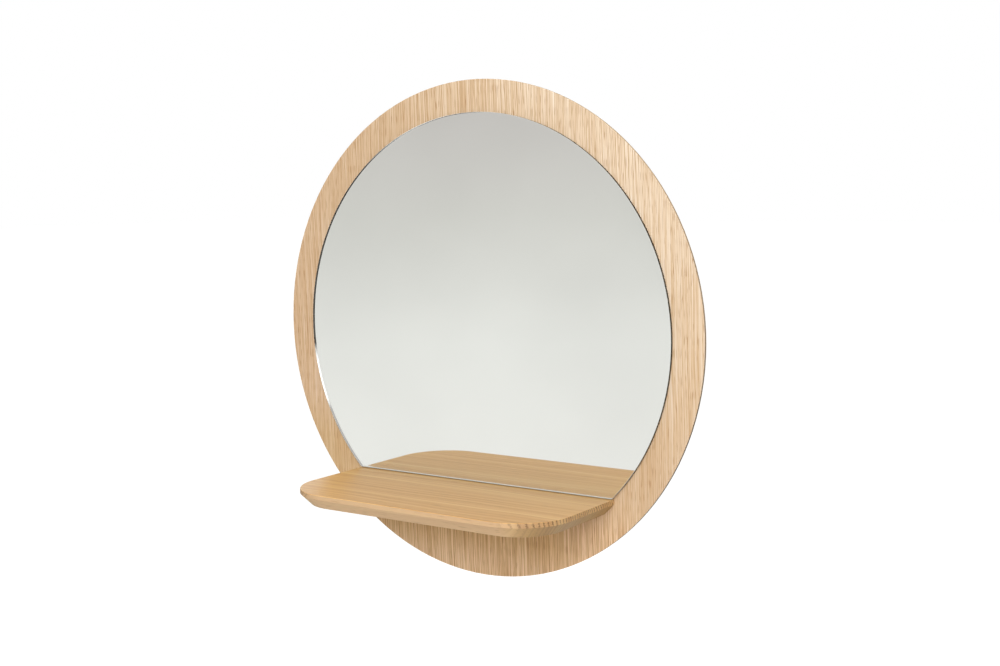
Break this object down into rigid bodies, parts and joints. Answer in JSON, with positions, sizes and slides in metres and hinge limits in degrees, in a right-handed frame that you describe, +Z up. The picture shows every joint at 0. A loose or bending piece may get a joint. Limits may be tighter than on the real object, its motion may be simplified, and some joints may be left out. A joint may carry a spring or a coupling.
{
  "type": "wall mirror with shelf",
  "caption": "Round wall mirror: veneered disc with an undercut edge, a round glass cut off straight at its foot, and a solid wood shelf with rounded front corners standing out below it.",
  "frame": {"origin": "midway between the two keyhole hangers, on the wall plane, at the height where the wall screws enter", "axes": "+Z up, +Y into the wall, so the mirror faces -Y; +X to the right as seen from the room"},
  "size_m": [0.4799, 0.146, 0.48],
  "materials": {
    "fibreboard": "medium-density fibreboard, edge oiled brown",
    "oak_veneer": "sliced oak veneer, straight grain, matt lacquer",
    "solid_oak": "solid oak, oiled satin",
    "beech": "plain turned beech",
    "clear_glass": "clear float glass, polished edge",
    "silvering": "silvered, with backing paint",
    "foam_tape": "double-sided foam tape",
    "zinc_plated_steel": "bright zinc plating"
  },
  "bodies": {
    "root": {"panel_core": "fibreboard", "front_veneer": "oak_veneer", "back_veneer": "oak_veneer", "mirror_glass": "clear_glass", "silver_backing": "silvering", "mounting_tape": "foam_tape", "shelf": "solid_oak", "shelf_dowels": "beech", "shelf_screws": "zinc_plated_steel", "keyhole_plates": "zinc_plated_steel", "hanger_screws": "zinc_plated_steel"}
  },
  "joints": []
}
